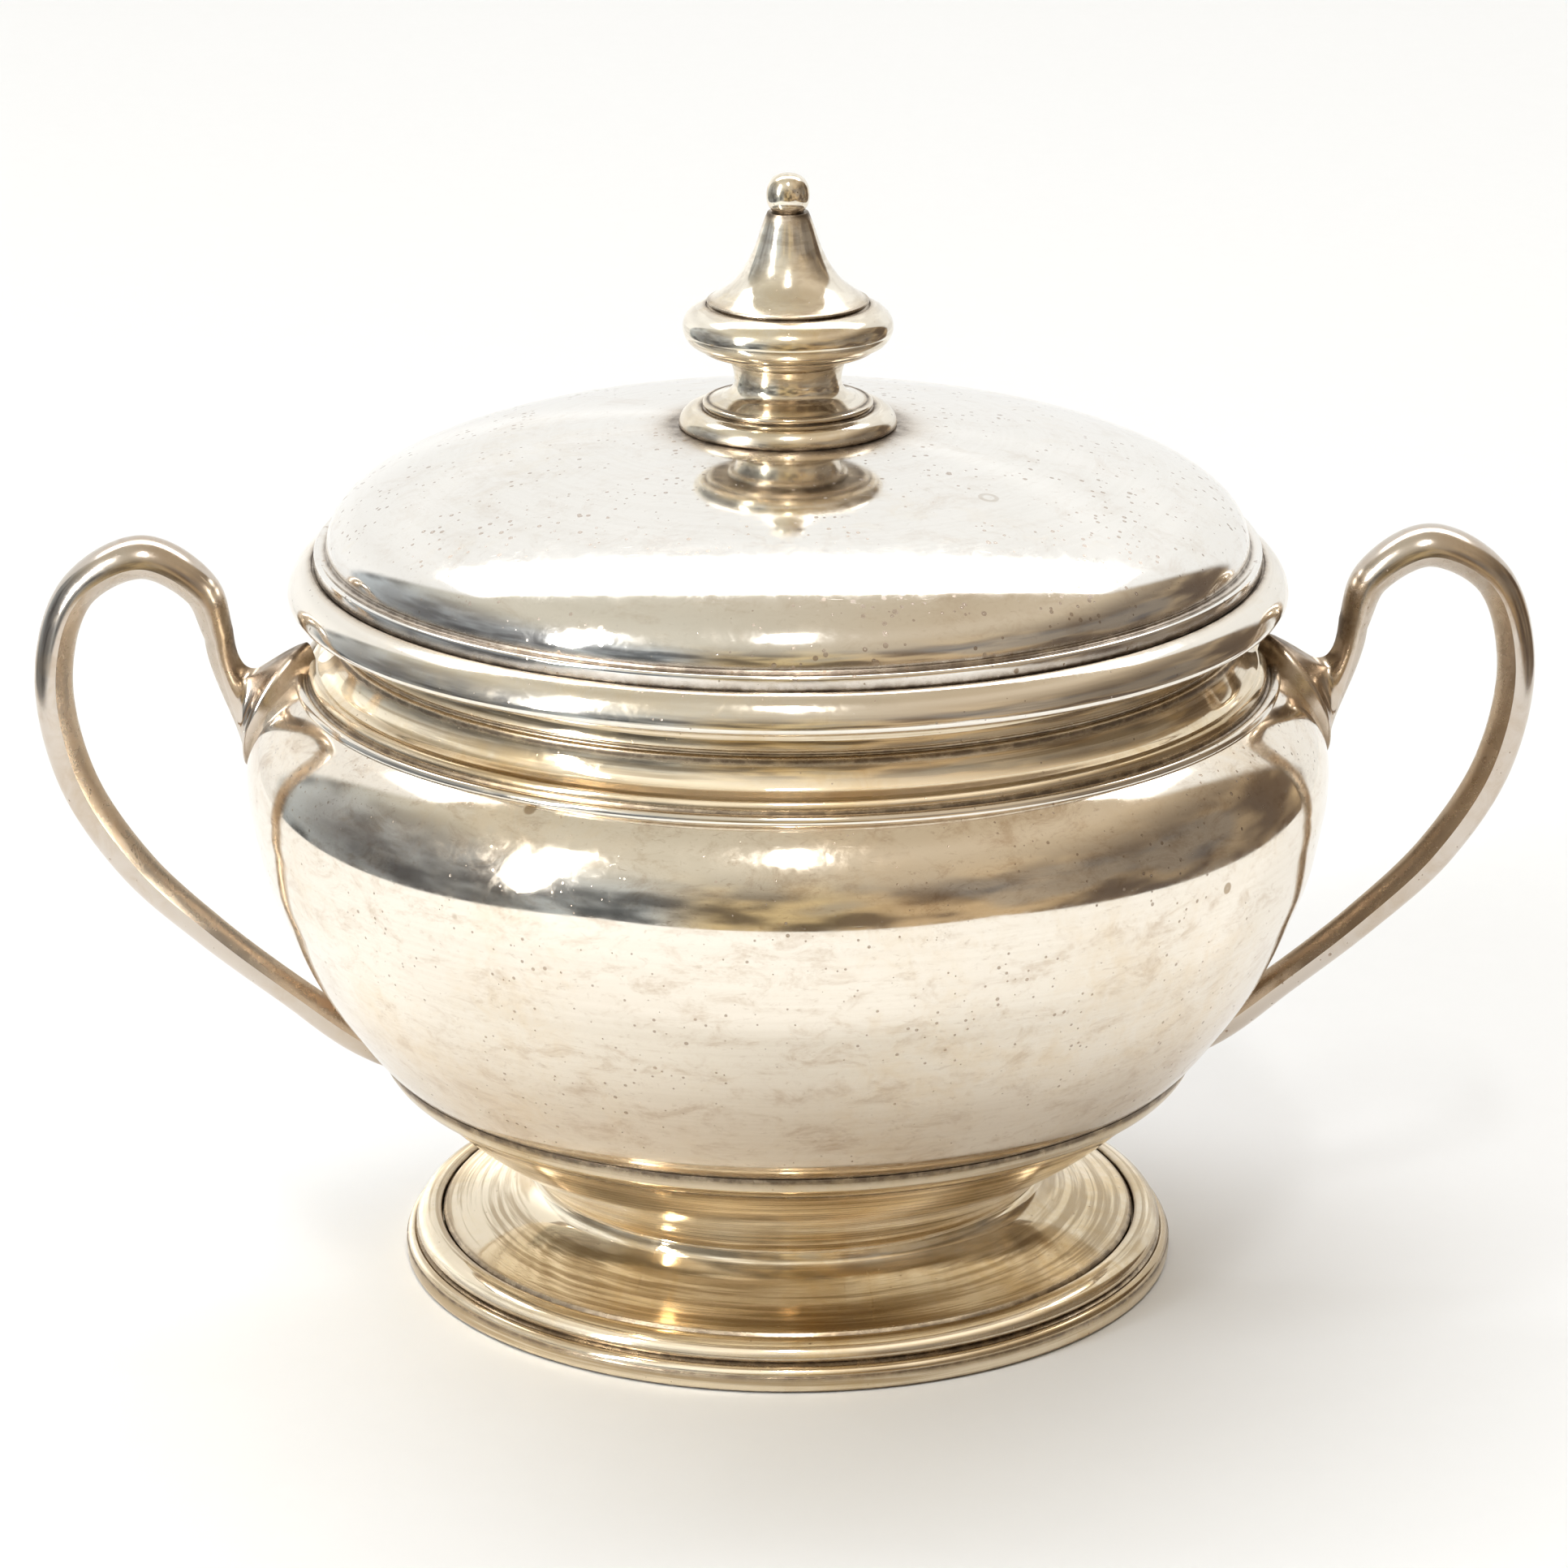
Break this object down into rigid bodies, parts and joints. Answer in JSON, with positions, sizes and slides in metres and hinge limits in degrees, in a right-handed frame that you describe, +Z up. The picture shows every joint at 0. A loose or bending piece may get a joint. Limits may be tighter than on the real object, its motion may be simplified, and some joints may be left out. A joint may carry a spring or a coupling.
{
  "type": "covered sugar bowl",
  "caption": "Round spun silver sugar bowl on a spool foot with cast S-shaped handles and a domed lift-off lid with a turned finial.",
  "frame": {"origin": "on the table, at the centre of the foot", "axes": "+Z up, handles along X, front towards -Y"},
  "size_m": [0.1698, 0.1222, 0.126],
  "materials": {
    "bowl_silver": "polished silver with a warm tarnish, ring stains and fine scratches",
    "foot_silver": "polished silver, more tarnished towards the joints",
    "cast_silver": "polished cast silver",
    "lid_silver": "polished silver with brown freckles",
    "finial_silver": "polished turned silver, dark in its grooves",
    "fixing_metal": "plain turned and cut metal"
  },
  "bodies": {
    "bowl": {"bowl_shell": "bowl_silver", "neck_collar": "bowl_silver", "shoulder_wire": "bowl_silver", "rim_band": "bowl_silver", "foot_collar": "foot_silver", "foot_shell": "foot_silver", "foot_step_ring": "foot_silver", "foot_base_ring": "foot_silver", "handle_left": "cast_silver", "handle_right": "cast_silver"},
    "lid": {"lid_dome": "lid_silver", "lid_edge_band": "lid_silver", "lid_bezel": "lid_silver", "finial_base": "finial_silver", "finial_neck": "finial_silver", "finial_knob": "finial_silver", "finial_spire": "finial_silver", "finial_bead": "finial_silver", "finial_stud": "fixing_metal", "finial_washer": "fixing_metal", "finial_nut": "fixing_metal"}
  },
  "joints": [
    {"name": "lid_lift", "type": "slide", "parent": "bowl", "child": "lid", "axis": [0, 0, 1], "range_m": [0, 0.08]}
  ]
}
